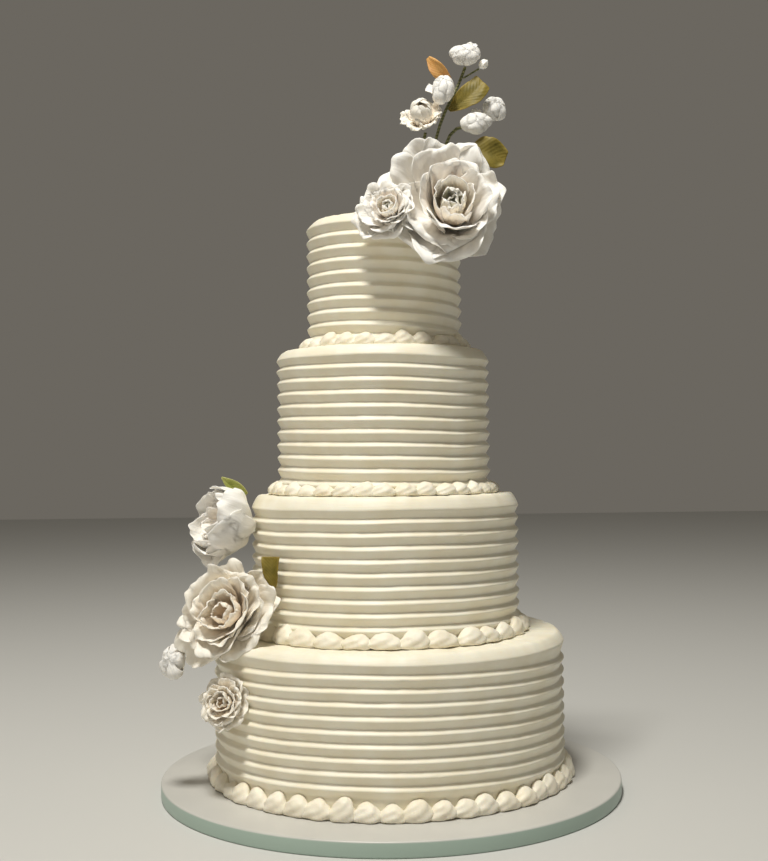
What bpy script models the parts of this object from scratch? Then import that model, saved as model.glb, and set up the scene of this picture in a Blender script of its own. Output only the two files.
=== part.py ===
"""Four-tier wedding cake: combed buttercream ridges, piped shell borders and sugar flowers, on a board.

Metres, +Z up. The origin is the centre of the board's underside, and -Y is the front.
"""

import math
import random

import bmesh
import bpy
from mathutils import Matrix, Vector

# ---------------------------------------------------------------- driving dimensions
GAP = 0.0003  # between pieces that touch

BOARD_RADIUS = 0.2032  # 16 inch drum board
BOARD_THICKNESS = 0.0127
BOARD_EDGE = 0.0012
BOARD_SIDES = 48

RIDGE_DEPTH = 0.0033  # comb tooth, crease to crest
CREST_PLACE = 0.37  # share of a ridge's height above its crest
SHOULDER = 0.0065  # how far a tier's top slopes in from its topmost crest
RIDGE_WANDER = 0.0005  # how far a hand-combed ridge strays up, down, in and out

# name, crest radius, height, top to first crease, ridges, ridge height, tilt, sag, aside, sides
# (the comb sank by the tilt towards the right and by the sag at both sides; aside is how far to the
# right the tier stands off the board's centre)
TIERS = (
    ("tier_bottom", 0.1564, 0.1263, 0.0141, 9, 0.01070, 0.0008, 0.0046, -0.0006, 30),
    ("tier_third", 0.1203, 0.1215, 0.0176, 9, 0.01082, 0, 0, -0.0028, 26),
    ("tier_second", 0.0956, 0.1270, 0.0160, 9, 0.01095, 0.0015, 0, -0.0034, 24),
    ("tier_top", 0.0697, 0.1160, 0.0168, 8, 0.01110, 0.0032, 0, -0.0015, 20),
)

# name, shells round the tier, shell height, how far a shell stands out
BORDERS = (
    ("border_bottom", 50, 0.0150, 0.0070),
    ("border_third", 32, 0.0140, 0.0095),
    ("border_second", 35, 0.0108, 0.0085),
    ("border_top", 26, 0.0120, 0.0077),
)
SHELL_UNEVENNESS = 0.14  # share by which one piped shell differs from the next
NOTCH_REACH = 0.62  # how far out and up the dip between two shells comes
NOTCH_HEIGHT = 0.68

STEM_RADIUS = 0.0014
WIRE_RADIUS = 0.0008
TWIG_SEAT = 0.0002  # how far a twig's end stands off the stem it branches from
LEAF_THICKNESS = 0.0016
LEAF_STALK = 0.0008  # half the width of a leaf at its foot and tip
LEAF_STATIONS = 6
BLOSSOM_BACK = 0.55  # how far a blossom's cone reaches behind it, as a share of its radius

# ---------------------------------------------------------------- finishes
# name: base colour (linear), roughness
FINISHES = {
    "buttercream": ((0.80, 0.74, 0.58, 1), 0.55),
    "board_foil": ((0.50, 0.53, 0.48, 1), 0.45),
    "sugar_white": ((0.83, 0.80, 0.74, 1), 0.6),
    "sugar_cream": ((0.82, 0.74, 0.62, 1), 0.6),
    "leaf_olive": ((0.35, 0.27, 0.08, 1), 0.5),
    "leaf_tan": ((0.52, 0.33, 0.14, 1), 0.5),
    "leaf_lime": ((0.30, 0.36, 0.09, 1), 0.5),
    "stem_green": ((0.13, 0.14, 0.08, 1), 0.6),
}


def clear_scene():
    for obj in list(bpy.data.objects):
        bpy.data.objects.remove(obj, do_unlink=True)


def finish(name):
    """The Principled material of one finish, made once."""
    material = bpy.data.materials.get(name)
    if material:
        return material
    colour, roughness = FINISHES[name]
    material = bpy.data.materials.new(name)
    material.use_nodes = True
    shader = material.node_tree.nodes["Principled BSDF"]
    shader.inputs["Base Color"].default_value = colour
    shader.inputs["Roughness"].default_value = roughness
    material.diffuse_color = colour
    return material


# ---------------------------------------------------------------- mesh helpers
def add_object(name, mesh_builder, finish_name):
    """A new smooth-shaded object from a bmesh, its faces turned outwards."""
    bmesh.ops.recalc_face_normals(mesh_builder, faces=mesh_builder.faces)
    mesh = bpy.data.meshes.new(name)
    mesh_builder.to_mesh(mesh)
    mesh_builder.free()
    mesh.shade_smooth()
    mesh.set_sharp_from_angle(angle=math.radians(40))
    obj = bpy.data.objects.new(name, mesh)
    obj.data.materials.append(finish(finish_name))
    bpy.context.scene.collection.objects.link(obj)
    return obj


def bridge(builder, lower, upper):
    """Quads between two closed loops with as many points each."""
    count = len(lower)
    for i in range(count):
        j = (i + 1) % count
        builder.faces.new((lower[i], lower[j], upper[j], upper[i]))


def skin(name, loops, finish_name, closed=False):
    """A solid through closed loops of points; its ends are capped, or meet if it is closed."""
    builder = bmesh.new()
    rings = []
    for loop in loops:
        rings.append([builder.verts.new(point) for point in loop])
    for lower, upper in zip(rings, rings[1:]):
        bridge(builder, lower, upper)
    if closed:
        bridge(builder, rings[-1], rings[0])
    else:
        builder.faces.new(list(reversed(rings[0])))
        builder.faces.new(rings[-1])
    return add_object(name, builder, finish_name)


def domed_skin(name, start, loops, end, finish_name):
    """A solid through closed loops that narrows to a point at each end."""
    builder = bmesh.new()
    rings = []
    for loop in loops:
        rings.append([builder.verts.new(point) for point in loop])
    for lower, upper in zip(rings, rings[1:]):
        bridge(builder, lower, upper)
    first = builder.verts.new(start)
    last = builder.verts.new(end)
    count = len(rings[0])
    for i in range(count):
        j = (i + 1) % count
        builder.faces.new((first, rings[0][j], rings[0][i]))
        builder.faces.new((last, rings[-1][i], rings[-1][j]))
    return add_object(name, builder, finish_name)


def cut(obj, cutter):
    """Takes the cutter's volume out of the object."""
    modifier = obj.modifiers.new("seat", "BOOLEAN")
    modifier.operation = "DIFFERENCE"
    modifier.object = cutter
    return obj


def hide_cutter(obj):
    obj.hide_render = True
    obj.display_type = "WIRE"
    return obj


def polar(radius, angle, height, aside=0):
    """A point at an angle counted from the front, positive to the right, round an upright axis."""
    return Vector((aside + radius * math.sin(angle), -radius * math.cos(angle), height))


# ---------------------------------------------------------------- cake
def turned_loop(radius, height, sides, aside=0):
    return [polar(radius, math.tau * i / sides, height, aside) for i in range(sides)]


def comb_drop(angle, tilt, sag):
    """How far the comb had sunk at this angle from the front."""
    return tilt * math.sin(angle) + sag * math.sin(angle) ** 2


def wandering_loop(radius, height, sides, seed, tilt, sag, aside):
    """A loop that strays a little, as a hand-held comb does on a turning cake."""
    chance = random.Random(seed)
    first = chance.uniform(0, math.tau)
    second = chance.uniform(0, math.tau)
    points = []
    for i in range(sides):
        angle = math.tau * i / sides
        up = 0.6 * math.sin(2 * angle + first) + 0.4 * math.sin(5 * angle + second)
        out = 0.5 * math.sin(3 * angle + second) - 0.5
        here = height + RIDGE_WANDER * up - comb_drop(angle, tilt, sag)
        points.append(polar(radius + RIDGE_WANDER * out, angle, here, aside))
    return points


def make_board():
    rings = (
        (BOARD_RADIUS - BOARD_EDGE, 0),
        (BOARD_RADIUS, BOARD_EDGE),
        (BOARD_RADIUS, BOARD_THICKNESS - BOARD_EDGE),
        (BOARD_RADIUS - BOARD_EDGE, BOARD_THICKNESS),
    )
    loops = [turned_loop(radius, height, BOARD_SIDES) for radius, height in rings]
    return skin("board", loops, "board_foil")


def make_tier(name, radius, base, height, first_crease, ridges, pitch, tilt, sag, aside, sides):
    """A round tier: flat top, sloped shoulder, then one ridge under another to a plain foot."""
    valley = radius - RIDGE_DEPTH
    top = base + height
    loops = [turned_loop(valley, base + GAP, sides, aside)]
    crease = top - first_crease
    last_crease = crease - ridges * pitch
    loops.append(wandering_loop(valley, last_crease, sides, name + "last", tilt, sag, aside))
    for k in reversed(range(ridges)):
        upper_crease = crease - k * pitch
        crest = upper_crease - CREST_PLACE * pitch
        loops.append(wandering_loop(radius, crest, sides, f"{name} crest {k}", tilt, sag, aside))
        loops.append(
            wandering_loop(valley, upper_crease, sides, f"{name} crease {k}", tilt, sag, aside)
        )
    lip = crease + (1 - CREST_PLACE) * pitch
    loops.append(wandering_loop(radius, lip, sides, name + " lip", tilt, 0, aside))
    loops.append(turned_loop(radius - SHOULDER, top, sides, aside))
    return skin(name, loops, "buttercream")


def make_border(border, tier, base):
    """A ring of piped shells that lean on the tier, where its lowest ridge slopes out above them."""
    name, shells, height, reach = border
    _, tier_radius, tier_height, first_crease, ridges, pitch, tilt, sag, aside, _ = tier
    chance = random.Random(name)
    stations = 2 * shells
    inner = (tier_radius - RIDGE_DEPTH + GAP) / math.cos(math.pi / stations)
    foot = base + GAP
    plain = tier_height - first_crease - ridges * pitch
    slope = (1 - CREST_PLACE) * pitch
    loops = []
    for i in range(stations):
        angle = math.tau * i / stations
        out = reach + RIDGE_DEPTH
        up = height
        if i % 2:
            out *= NOTCH_REACH
            up *= NOTCH_HEIGHT
        else:
            out *= 1 + chance.uniform(-SHELL_UNEVENNESS, 0)
            up *= 1 + chance.uniform(-SHELL_UNEVENNESS, SHELL_UNEVENNESS)
        covered = up - plain + comb_drop(angle, tilt, sag) + 2 * RIDGE_WANDER
        lean = max(0.0, covered / slope) * RIDGE_DEPTH
        section = ((0, 0), (0.96 * out, 0), (0.90 * out, 0.55 * up), (lean, up))
        loops.append([polar(inner + x, angle, foot + z, aside) for x, z in section])
    return skin(name, loops, "buttercream", closed=True)


def make_cake():
    """Builds the tiers and their borders, and returns each tier's base and top by name."""
    places = {}
    base = BOARD_THICKNESS
    for tier, border in zip(TIERS, BORDERS):
        name, radius, height, first_crease, ridges, pitch, tilt, sag, aside, sides = tier
        make_tier(name, radius, base, height, first_crease, ridges, pitch, tilt, sag, aside, sides)
        make_border(border, tier, base)
        places[name] = (base, base + height)
        base += height
    return places


def make_envelope(places):
    """A stepped cutter a gap larger than the cake and its borders, which seats the flowers."""
    sides = 72
    grow = 1 / math.cos(math.pi / sides)
    loops = []
    for tier, (_, _, shell_height, reach) in zip(TIERS, BORDERS):
        name, radius, aside = tier[0], tier[1], tier[-2]
        base, top = places[name]
        border_radius = (radius + reach + 2 * GAP) * grow
        border_top = base + (1 + SHELL_UNEVENNESS) * shell_height + 2 * GAP
        tier_radius = (radius + GAP) * grow
        loops.append(turned_loop(border_radius, base + GAP, sides, aside))
        loops.append(turned_loop(border_radius, border_top, sides, aside))
        loops.append(turned_loop(tier_radius, border_top + GAP, sides, aside))
        loops.append(turned_loop(tier_radius, top + GAP, sides, aside))
    return hide_cutter(skin("cake_envelope", loops, "buttercream"))


# ---------------------------------------------------------------- flowers
class Place:
    """Where a flower sits: its rim's centre, the way it faces and its turn about that."""

    def __init__(self, centre, facing, roll=0.0):
        self.centre = Vector(centre)
        self.facing = Vector(facing).normalized()
        right = Vector((0, 0, 1)).cross(self.facing).normalized()
        up = self.facing.cross(right)
        axes = Matrix((right, up, self.facing)).transposed()
        self.turn = axes @ Matrix.Rotation(roll, 3, "Z")

    def at(self, x, y, z):
        return self.centre + self.turn @ Vector((x, y, z))


def petal_loop(place, radius, depth, stretch, petals, phase, lobe, ruffle, points):
    """A petal layer's edge: petals round the centre, each bulging out and waving up and down."""
    loop = []
    for i in range(points):
        angle = math.tau * i / points
        wave = abs(math.cos(petals * angle / 2 + phase))
        reach = radius * (1 - lobe + lobe * wave)
        lift = depth + ruffle * radius * math.cos(petals * angle + 2 * phase + 0.7)
        loop.append(place.at(reach * math.cos(angle) * stretch, reach * math.sin(angle), lift))
    return loop


def make_flower(name, place, radius, back, layers, finish_name, stretch=1.0, points=14, heart=0.45):
    """A many-petalled head: a rounded back, then petal layers that step inwards and forwards.

    Each layer is (edge radius share, edge height share, petals, phase); heights are shares of radius.
    """
    loops = [
        petal_loop(place, 0.34 * radius, -0.92 * back, stretch, 5, 0, 0, 0, points),
        petal_loop(place, 0.76 * radius, -0.5 * back, stretch, 5, 0.4, 0.06, 0, points),
    ]
    for k, (reach, lift, petals, phase) in enumerate(layers):
        edge = reach * radius
        loops.append(
            petal_loop(place, edge, lift * radius, stretch, petals, phase, 0.13, 0.05, points)
        )
        inner = 0.72 * layers[k + 1][0] if k + 1 < len(layers) else 0.6 * reach
        depth = lift - 0.12
        loops.append(
            petal_loop(place, inner * radius * 1.12, depth * radius, stretch, 5, phase, 0, 0, points)
        )
    start = place.at(0, 0, -back)
    end = place.at(0, 0, heart * radius)
    return domed_skin(name, start, loops, end, finish_name)


def make_blossom(name, place, radius, cup, clear=2 * GAP):
    """A small open blossom: a cone behind, lobed petals and a dished middle; returns its foot."""
    petals = 5
    points = 2 * petals
    lobe = 0.3
    loops = [
        petal_loop(place, 0.3 * radius, -0.45 * radius, 1, petals, 0, 0, 0, points),
        petal_loop(place, radius, cup * radius, 1, petals, 0, lobe, 0.06, points),
        petal_loop(place, 0.86 * radius, cup * radius + 0.0014, 1, petals, 0, lobe, 0.06, points),
    ]
    start = place.at(0, 0, -BLOSSOM_BACK * radius)
    end = place.at(0, 0, -0.05 * radius)
    domed_skin(name, start, loops, end, "sugar_white")
    return place.at(0, 0, -BLOSSOM_BACK * radius - clear)


def make_bud(name, place, radius, length, finish_name="sugar_white", points=7):
    """A closed bud, pointed in front."""
    loops = []
    for share, reach in ((0.2, 0.75), (0.5, 1.0), (0.8, 0.7)):
        loops.append(
            petal_loop(place, reach * radius, share * length, 1, 3, 0.3, 0.1, 0, points)
        )
    return domed_skin(name, place.at(0, 0, 0), loops, place.at(0, 0, length), finish_name)


def make_leaf(name, base, tip, width, face, finish_name, bow=0.12):
    """A leaf blade from base to tip, folded along its midrib and bowed towards its face."""
    base = Vector(base)
    along = Vector(tip) - base
    face = Vector(face)
    face = (face - face.project(along)).normalized()
    across = along.normalized().cross(face)
    loops = []
    for i in range(LEAF_STATIONS):
        share = 0.96 * i / (LEAF_STATIONS - 1)
        half = max(0.5 * width * math.sin(math.pi * share ** 0.85), LEAF_STALK)
        spine = base + along * share + face * (bow * along.length * math.sin(math.pi * share))
        fold = face * (0.18 * half)
        loops.append(
            [
                spine + across * half + fold,
                spine + face * (0.5 * LEAF_THICKNESS),
                spine - across * half + fold,
                spine - face * (0.5 * LEAF_THICKNESS),
            ]
        )
    return skin(name, loops, finish_name)


def smooth_route(points):
    """The points and the halfway points of a smooth curve through them."""
    points = [Vector(point) for point in points]
    ends = [2 * points[0] - points[1], *points, 2 * points[-1] - points[-2]]
    route = []
    for before, start, stop, after in zip(ends, ends[1:], ends[2:], ends[3:]):
        halfway = (9 * (start + stop) - before - after) / 16
        route += [start, halfway]
    return route + [points[-1]]


def make_stem(name, points, radius, finish_name="stem_green"):
    """A round stem along a smooth curve; returns the curve's points."""
    route = smooth_route(points)
    curve = bpy.data.curves.new(name, "CURVE")
    curve.dimensions = "3D"
    curve.bevel_depth = radius
    curve.bevel_resolution = 1
    curve.use_fill_caps = True
    spline = curve.splines.new("POLY")
    spline.points.add(len(route) - 1)
    for point, place in zip(spline.points, route):
        point.co = (*place, 1)
    obj = bpy.data.objects.new(name, curve)
    curve.materials.append(finish(finish_name))
    bpy.context.scene.collection.objects.link(obj)
    return route


def beside(route, index, toward, reach):
    """A point just clear of a stem's side, on the side of another point, for what joins it there."""
    here = route[index]
    along = (route[index + 1] - route[index - 1]).normalized()
    away = Vector(toward) - here
    away = (away - away.project(along)).normalized()
    return here + away * (STEM_RADIUS + reach + GAP)


def hull_cutter(obj):
    """A cutter a gap larger than the convex outside of a finished flower."""
    bpy.context.view_layer.update()
    graph = bpy.context.evaluated_depsgraph_get()
    evaluated = obj.evaluated_get(graph)
    hull = bmesh.new()
    for vert in evaluated.to_mesh().vertices:
        hull.verts.new(vert.co)
    evaluated.to_mesh_clear()
    found = bmesh.ops.convex_hull(hull, input=hull.verts)
    spare = set(found["geom_interior"]) | set(found["geom_unused"])
    bmesh.ops.delete(hull, geom=list(spare), context="VERTS")
    middle = sum((vert.co for vert in hull.verts), Vector()) / len(hull.verts)
    for vert in hull.verts:
        vert.co += (vert.co - middle).normalized() * 2 * GAP
    return hide_cutter(add_object(obj.name + "_cutter", hull, "sugar_white"))


PEONY_LAYERS = (
    (1.00, 0.00, 5, 0.3),
    (0.80, 0.24, 6, 1.1),
    (0.56, 0.50, 5, 0.2),
    (0.34, 0.60, 3, 0.9),
)
CUP_LAYERS = (
    (1.00, 0.32, 5, 0.3),
    (0.76, 0.34, 5, 1.1),
    (0.44, 0.28, 3, 0.6),
)
ROSE_LAYERS = (
    (1.00, 0.02, 5, 0.1),
    (0.82, 0.16, 5, 0.9),
    (0.60, 0.32, 5, 1.9),
    (0.38, 0.42, 3, 0.5),
)
SMALL_ROSE_LAYERS = (
    (1.00, 0.05, 5, 0.3),
    (0.72, 0.30, 5, 1.2),
    (0.42, 0.48, 3, 0.4),
)
BUD_LAYERS = (
    (1.00, 0.10, 4, 0.3),
    (0.62, 0.62, 3, 1.1),
)


def make_top_flowers(envelope):
    """The open peony on the top tier's front edge and the smaller one tucked against its left."""
    small_place = Place((-0.0020, -0.0870, 0.4995), (-0.30, -1.0, 0.15))
    small = make_flower("peony_top_small", small_place, 0.0275, 0.019, SMALL_ROSE_LAYERS,
                        "sugar_white", points=12)
    cut(small, envelope)
    small_cutter = hull_cutter(small)

    peony_place = Place((0.0445, -0.0790, 0.5095), (0.20, -1.0, -0.02))
    peony = make_flower("peony_top", peony_place, 0.0575, 0.030, PEONY_LAYERS, "sugar_white",
                        stretch=0.97, points=16)
    cut(peony, envelope)
    cut(peony, small_cutter)


def make_top_spray(top):
    """The rosebud, blossoms and leaves that rise behind the peony on stems from the tier's top."""
    floor = top + 2 * GAP
    rosebud_place = Place((0.0330, -0.0450, 0.5890), (-0.25, -0.75, 0.75))
    rosebud_back = 0.015
    make_flower("rosebud", rosebud_place, 0.0195, rosebud_back, BUD_LAYERS, "sugar_cream", points=10)
    foot = rosebud_place.at(0, 0, -rosebud_back - 3 * GAP)
    make_stem("stem_rosebud", ((0.0250, -0.0300, floor), (0.0290, -0.0310, 0.5400), foot),
              STEM_RADIUS)

    top_place = Place((0.0722, -0.0370, 0.6430), (-0.05, -0.75, 0.65), roll=0.3)
    foot = make_blossom("blossom_top", top_place, 0.0150, 0.45, clear=3 * GAP)
    left = make_stem("stem_left", ((0.0380, -0.0260, floor), (0.0415, -0.0330, 0.5380),
                                   (0.0450, -0.0370, 0.5690), (0.0540, -0.0350, 0.5960),
                                   (0.0650, -0.0310, 0.6180), foot), STEM_RADIUS)

    right_place = Place((0.0800, -0.0450, 0.5850), (0.1, -1.0, 0.25), roll=0.9)
    foot = make_blossom("blossom_right", right_place, 0.0150, 0.3, clear=6 * GAP)
    right = make_stem("stem_right", ((0.0480, -0.0230, floor), (0.0515, -0.0320, 0.5350),
                                     (0.0540, -0.0360, 0.5660), (0.0640, -0.0350, 0.5810),
                                     foot), STEM_RADIUS)

    mid_place = Place((0.0520, -0.0440, 0.6110), (-0.35, -0.9, 0.2), roll=0.6)
    foot = make_blossom("blossom_mid", mid_place, 0.0150, 0.3)
    make_stem("twig_mid", (beside(left, 7, foot, TWIG_SEAT), foot), WIRE_RADIUS)

    far_place = Place((0.0955, -0.0300, 0.5975), (0.45, -0.9, 0.2), roll=0.2)
    foot = make_blossom("blossom_far_right", far_place, 0.0125, 0.35)
    bend = Vector((0.0780, -0.0230, 0.5860))
    make_stem("twig_far_right", (beside(right, 7, bend, TWIG_SEAT), bend, foot), WIRE_RADIUS)

    bud_place = Place((0.0850, -0.0330, 0.6350), (0.7, -0.3, 0.6))
    make_bud("bud_top", bud_place, 0.0046, 0.0100)
    foot = bud_place.at(0, 0, -2 * GAP)
    make_stem("twig_bud", (beside(left, 9, foot, TWIG_SEAT), foot), WIRE_RADIUS)

    tip = (0.0375, -0.0350, 0.6475)
    make_leaf("leaf_top_left", beside(left, 8, tip, LEAF_STALK), tip, 0.0160,
              (-0.2, -0.9, -0.3), "leaf_tan")
    tip = (0.0945, -0.0380, 0.6280)
    make_leaf("leaf_top_middle", beside(left, 6, tip, LEAF_STALK), tip, 0.0270,
              (-0.2, -0.9, 0.3), "leaf_olive", bow=0.1)
    tip = (0.1090, -0.0460, 0.5430)
    leaf_foot = Vector((0.0725, -0.0460, 0.5650))
    make_leaf("leaf_top_right", leaf_foot, tip, 0.0330, (0.1, -1.0, 0.2), "leaf_olive", bow=0.08)
    wire_end = leaf_foot - Vector((2 * GAP, 0, 0))
    make_stem("wire_leaf", (beside(right, 4, leaf_foot, TWIG_SEAT), (0.0620, -0.0440, 0.5625),
                            wire_end), WIRE_RADIUS)


def make_left_cascade(envelope):
    """The rose on the ledge with a peony above it, a small rose below, and leaves and a blossom."""
    rose_place = Place((-0.1335, -0.0870, 0.1650), (-0.30, -0.94, 0.14), roll=0.75)
    rose = make_flower("rose_large", rose_place, 0.0395, 0.036, ROSE_LAYERS, "sugar_cream",
                       stretch=1.28, points=18)
    cut(rose, envelope)
    rose_cutter = hull_cutter(rose)

    peony_place = Place((-0.1460, -0.0370, 0.2290), (-0.93, -0.28, 0.26))
    peony = make_flower("peony_left", peony_place, 0.0400, 0.034, CUP_LAYERS, "sugar_white",
                        points=14, heart=0.1)
    cut(peony, envelope)
    cut(peony, rose_cutter)

    small_place = Place((-0.1370, -0.0990, 0.0945), (-0.32, -0.94, 0.08))
    small = make_flower("rose_small", small_place, 0.0232, 0.019, SMALL_ROSE_LAYERS,
                        "sugar_cream", points=14)
    cut(small, envelope)

    blossom_place = Place((-0.1810, -0.0680, 0.1235), (-0.75, -0.65, -0.1), roll=0.5)
    foot = make_blossom("blossom_left", blossom_place, 0.0165, 0.2)
    make_stem("twig_left", ((-0.1462, -0.0555, 0.1260), (-0.1600, -0.0590, 0.1245), foot),
              WIRE_RADIUS)

    make_leaf("leaf_lime", (-0.1190, -0.0215, 0.2622), (-0.1478, -0.0300, 0.2775), 0.0110,
              (-0.5, -0.8, 0.3), "leaf_lime")
    ledge = make_leaf("leaf_ledge", (-0.0950, -0.0775, 0.1640), (-0.0970, -0.0757, 0.2130), 0.0150,
                      (-0.77, -0.64, 0), "leaf_olive", bow=0.03)
    cut(ledge, rose_cutter)


def main():
    clear_scene()
    make_board()
    places = make_cake()
    envelope = make_envelope(places)
    make_top_flowers(envelope)
    make_top_spray(places["tier_top"][1])
    make_left_cascade(envelope)


main()
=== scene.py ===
"""The looks of the four-tier wedding cake: combed buttercream, piped shells, sugar flowers and its board."""

import math
import random

import bmesh
import bpy
from mathutils import Matrix, Vector, noise


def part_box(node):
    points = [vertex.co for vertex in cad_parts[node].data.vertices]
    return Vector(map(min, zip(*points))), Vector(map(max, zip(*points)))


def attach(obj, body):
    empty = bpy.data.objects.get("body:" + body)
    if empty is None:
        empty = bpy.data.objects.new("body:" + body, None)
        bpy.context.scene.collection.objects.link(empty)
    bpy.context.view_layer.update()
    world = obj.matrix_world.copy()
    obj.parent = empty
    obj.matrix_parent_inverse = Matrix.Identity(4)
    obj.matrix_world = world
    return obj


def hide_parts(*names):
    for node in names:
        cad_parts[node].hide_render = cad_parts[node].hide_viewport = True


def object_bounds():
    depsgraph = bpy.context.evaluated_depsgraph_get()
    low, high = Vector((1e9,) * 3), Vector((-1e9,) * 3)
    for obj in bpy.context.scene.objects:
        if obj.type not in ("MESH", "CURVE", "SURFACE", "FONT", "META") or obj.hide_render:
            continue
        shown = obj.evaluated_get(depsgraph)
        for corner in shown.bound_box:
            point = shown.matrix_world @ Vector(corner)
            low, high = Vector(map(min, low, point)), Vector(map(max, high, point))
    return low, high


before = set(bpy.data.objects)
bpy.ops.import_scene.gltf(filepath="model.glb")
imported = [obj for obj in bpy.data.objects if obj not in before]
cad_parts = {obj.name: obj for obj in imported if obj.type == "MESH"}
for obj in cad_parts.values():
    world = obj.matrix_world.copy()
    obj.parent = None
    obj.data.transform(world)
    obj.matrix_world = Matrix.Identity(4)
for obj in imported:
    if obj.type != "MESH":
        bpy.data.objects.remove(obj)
cad_low, cad_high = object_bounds()

MM = 0.001
BODY = "root"
MATH = "ShaderNodeMath"
VECTOR = "ShaderNodeVectorMath"

# ---------------------------------------------------------------- sizes of the icing, in metres
BOARD_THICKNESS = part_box("board")[1].z
BOARD_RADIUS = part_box("board")[1].x
RIDGE_DEPTH = 3.3 * MM  # comb tooth, crease to crest
CREST_PLACE = 0.37  # share of a ridge's height above its crest
SHOULDER = 7.5 * MM  # how far a tier's top slopes in from its topmost crest
ROWS_PER_RIDGE = 14
LIP_ROWS = 9  # from the first crease to the topmost crest
SHOULDER_ROWS = 9
TOP_ROWS = 20
ICING_COLUMN = 2.4 * MM  # width of one face round a tier
COMB_WANDER = 1.8 * MM  # how far a comb line strays up and down
LIP_LUMP = 2.5 * MM
WALL_LUMP = 1.3 * MM
NICK_DEPTH = 1.1 * MM
KNIFE_STROKE = 1.6 * MM  # height of the palette knife's strokes on a top
SHELL_DENT = 3.4 * MM

# tier: first crease below the top, ridge height, how far the comb sank to the right and at both sides,
# and a local rise (all in mm), that rise's angle from the front in degrees, and how many ridges there are
COMBING = {
    "tier_bottom": (14.1, 10.70, 0.8, 4.6, 0.0, 0.0, 9),
    "tier_third": (17.6, 10.82, 0.0, 0.0, 0.8, 15.0, 9),
    "tier_second": (16.0, 10.95, 0.9, -1.5, -1.0, 45.0, 10),
    "tier_top": (16.8, 11.10, 3.2, 0.0, 0.0, 0.0, 9),
}

# border: tier, shells, height and reach in mm
PIPING = {
    "border_bottom": ("tier_bottom", 50, 15.0, 7.0),
    "border_third": ("tier_third", 32, 14.0, 9.2),
    "border_second": ("tier_second", 35, 10.8, 8.2),
    "border_top": ("tier_top", 26, 12.0, 7.5),
}


# ---------------------------------------------------------------- colours and nodes
def linear(code):
    """A colour written as sRGB hex, as the linear values that a shader takes."""
    parts = [int(code[i:i + 2], 16) / 255 for i in (1, 3, 5)]
    return [c / 12.92 if c <= 0.04045 else ((c + 0.055) / 1.055) ** 2.4 for c in parts] + [1.0]


def add(tree, kind, inputs=None, **settings):
    """Adds a node with its settings; an input takes a value, a socket, or a node's first output."""
    node = tree.nodes.new(kind)
    for key, value in settings.items():
        setattr(node, key, value)
    for key, value in (inputs or {}).items():
        socket = node.inputs[key]
        if isinstance(value, bpy.types.Node):
            value = next(output for output in value.outputs if output.enabled)
        if isinstance(value, bpy.types.NodeSocket):
            tree.links.new(value, socket)
        else:
            socket.default_value = value
    return node


def shape_curve(node, points):
    """Sets a Float Curve or RGB Curves node's first curve through the points."""
    curve = node.mapping.curves[0]
    while len(curve.points) < len(points):
        curve.points.new(0.5, 0.5)
    for point, (x, y) in zip(curve.points, points):
        point.location = (x, y)
    node.mapping.update()
    return node


def shade_ramp(node, stops):
    """Sets a Color Ramp's stops from (place, sRGB hex)."""
    ramp = node.color_ramp
    while len(ramp.elements) < len(stops):
        ramp.elements.new(0.5)
    for element, (place, code) in zip(ramp.elements, stops):
        element.position = place
        element.color = linear(code)
    return node


def new_material(name, **values):
    """A Principled material; returns it, its tree and its shader."""
    material = bpy.data.materials.new(name)
    material.use_nodes = True
    tree = material.node_tree
    shader = tree.nodes["Principled BSDF"]
    for socket, value in values.items():
        shader.inputs[socket.replace("_", " ").title().replace("Ior", "IOR")].default_value = value
    return material, tree, shader


# ---------------------------------------------------------------- materials
def buttercream(name, pale, deep, combed):
    """American buttercream: butter and icing sugar, ivory and a little greasy. Dragged by the comb or nozzle
    it keeps fine drag lines (0.8 mm apart, real ones 0.3 mm) and small air bubbles (1.5 mm)."""
    material, tree, shader = new_material(
        name, roughness=0.48, subsurface_weight=0.12, subsurface_radius=(1.0, 0.72, 0.42),
        subsurface_scale=2.5 * MM, specular_ior_level=0.42)
    place = add(tree, "ShaderNodeTexCoord").outputs["Object"]
    mottle = add(tree, "ShaderNodeTexNoise", {"Vector": place, "Scale": 45.0, "Detail": 3.0})
    tone = shade_ramp(add(tree, "ShaderNodeValToRGB", {"Fac": mottle}), ((0.32, deep), (0.68, pale)))
    tree.links.new(tone.outputs[0], shader.inputs["Base Color"])
    if combed:
        along = add(tree, "ShaderNodeAttribute", attribute_name="comb").outputs["Vector"]
        dragged = add(tree, VECTOR, {0: along, 1: (18.0, 1200.0, 1.0)}, operation="MULTIPLY")
    else:
        along = add(tree, "ShaderNodeAttribute", attribute_name="swirl").outputs["Vector"]
        dragged = add(tree, VECTOR, {0: along, 1: (26.0, 5.0, 1.0)}, operation="MULTIPLY")
    lines = add(tree, "ShaderNodeTexNoise", {"Vector": dragged, "Scale": 1.0, "Detail": 2.0})
    bubbles = add(tree, "ShaderNodeTexNoise", {"Vector": place, "Scale": 650.0, "Detail": 2.0})
    first = add(tree, "ShaderNodeBump", {"Height": lines, "Strength": 0.35, "Distance": 0.5 * MM})
    second = add(tree, "ShaderNodeBump", {"Height": bubbles, "Strength": 0.25, "Distance": 0.35 * MM,
                                          "Normal": first})
    tree.links.new(second.outputs[0], shader.inputs["Normal"])
    return material


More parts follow.
